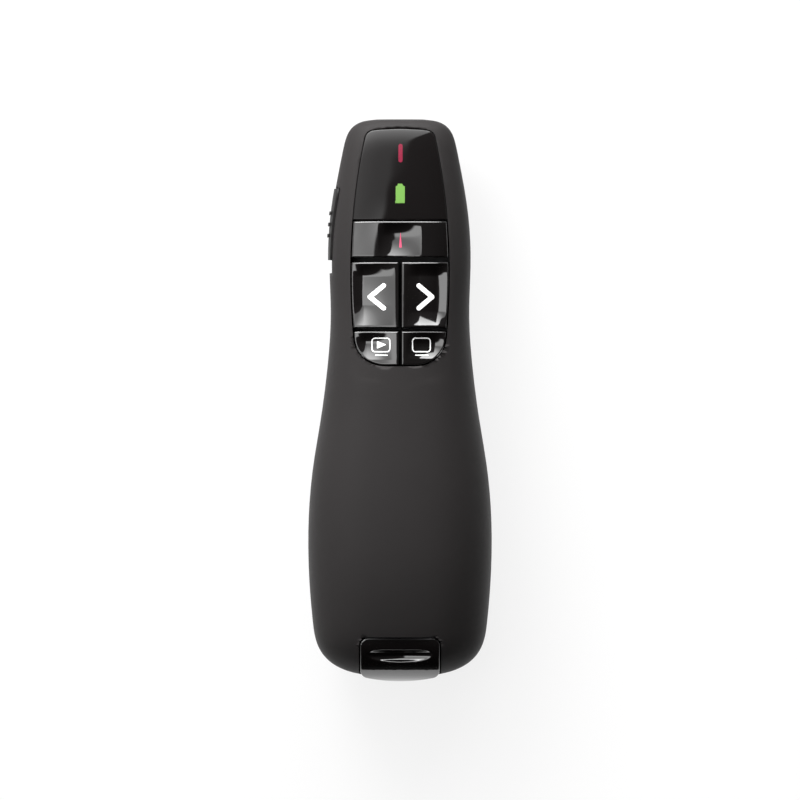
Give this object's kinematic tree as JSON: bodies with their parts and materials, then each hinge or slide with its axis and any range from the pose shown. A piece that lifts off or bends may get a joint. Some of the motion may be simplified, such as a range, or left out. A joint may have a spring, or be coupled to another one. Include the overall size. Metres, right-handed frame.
{
  "type": "wireless presentation clicker",
  "caption": "Hand-held wireless presentation clicker with glossy press keys, an indicator lens, a side power slider, a sliding battery door and a stowed plug-in receiver.",
  "frame": {"origin": "middle of the footprint, on the flat land of the battery door that it lies on", "axes": "+Z out of the front face with the keys, +Y towards the head with the laser, +X to the right of someone who looks at the keys with the head up"},
  "size_m": [0.0378, 0.1155, 0.0274],
  "materials": {
    "body_plastic": "fine soft-touch texture",
    "door_plastic": "fine soft-touch texture",
    "slider_plastic": "satin moulding",
    "key_plastic": "piano black, polished mould",
    "lens_plastic": "smoked, polished",
    "light_guide_red": "clear red light guide",
    "light_guide_green": "clear green light guide",
    "frame_plastic": "natural moulding",
    "chassis_plastic": "natural moulding",
    "circuit_board": "solder mask",
    "chip_plastic": "moulded epoxy",
    "switch_steel": "pressed sheet",
    "led_white": "lamp body",
    "barrel_brass": "turned",
    "optic": "polished",
    "window_dark": "dark red, polished",
    "battery_wrap": "plain wrap",
    "contact_metal": "nickel plated",
    "screw_steel": "zinc plated",
    "receiver_plastic": "satin moulding",
    "plug_steel": "nickel plated sheet",
    "tongue_plastic": "moulded",
    "contact_gold": "gold flash"
  },
  "bodies": {
    "housing": {"top_shell": "body_plastic", "bottom_shell": "body_plastic", "indicator_lens": "lens_plastic", "red_light_pipe": "light_guide_red", "green_light_pipe": "light_guide_green", "key_frame": "frame_plastic", "main_board": "circuit_board", "key_switches": "switch_steel", "red_led": "led_white", "green_led": "led_white", "controller_chip": "chip_plastic", "radio_chip": "chip_plastic", "timing_crystal": "switch_steel", "slide_switch": "switch_steel", "laser_barrel": "barrel_brass", "laser_lens": "optic", "laser_diode": "contact_gold", "laser_window": "window_dark", "inner_chassis": "chassis_plastic", "left_battery": "battery_wrap", "right_battery": "battery_wrap", "head_contacts": "contact_metal", "tail_contact": "contact_metal", "contact_springs": "contact_metal", "housing_screws": "screw_steel", "board_screws": "screw_steel"},
    "battery_door": {"battery_door": "door_plastic"},
    "power_slider": {"power_slider": "slider_plastic", "switch_lever": "chip_plastic"},
    "receiver": {"receiver_cap": "key_plastic", "receiver_body": "receiver_plastic", "usb_plug": "plug_steel", "usb_tongue": "tongue_plastic", "usb_contacts": "contact_gold", "receiver_board": "circuit_board", "receiver_chip": "chip_plastic"},
    "laser_key": {"laser_key": "key_plastic", "laser_switch_plunger": "chip_plastic"},
    "back_key": {"back_key": "key_plastic", "back_switch_plunger": "chip_plastic"},
    "forward_key": {"forward_key": "key_plastic", "forward_switch_plunger": "chip_plastic"},
    "slideshow_key": {"slideshow_key": "key_plastic", "slideshow_switch_plunger": "chip_plastic"},
    "blank_key": {"blank_key": "key_plastic", "blank_switch_plunger": "chip_plastic"}
  },
  "joints": [
    {"name": "laser_key_press", "type": "slide", "parent": "housing", "child": "laser_key", "axis": [0, 0, -1], "range_m": [0, 0.0005], "stiffness_N_per_m": 320, "springref_m": -0.002},
    {"name": "back_key_press", "type": "slide", "parent": "housing", "child": "back_key", "axis": [0, 0, -1], "range_m": [0, 0.0005], "stiffness_N_per_m": 320, "springref_m": -0.002},
    {"name": "forward_key_press", "type": "slide", "parent": "housing", "child": "forward_key", "axis": [0, 0, -1], "range_m": [0, 0.0005], "stiffness_N_per_m": 320, "springref_m": -0.002},
    {"name": "slideshow_key_press", "type": "slide", "parent": "housing", "child": "slideshow_key", "axis": [0, 0, -1], "range_m": [0, 0.0005], "stiffness_N_per_m": 320, "springref_m": -0.002},
    {"name": "blank_key_press", "type": "slide", "parent": "housing", "child": "blank_key", "axis": [0, 0, -1], "range_m": [0, 0.0005], "stiffness_N_per_m": 320, "springref_m": -0.002},
    {"name": "power_slide", "type": "slide", "parent": "housing", "child": "power_slider", "axis": [0, -1, 0], "range_m": [0, 0.0026]},
    {"name": "battery_door_slide", "type": "slide", "parent": "housing", "child": "battery_door", "axis": [0, -1, 0], "range_m": [0, 0.058]},
    {"name": "receiver_slide", "type": "slide", "parent": "housing", "child": "receiver", "axis": [0, -1, 0], "range_m": [0, 0.06]}
  ]
}
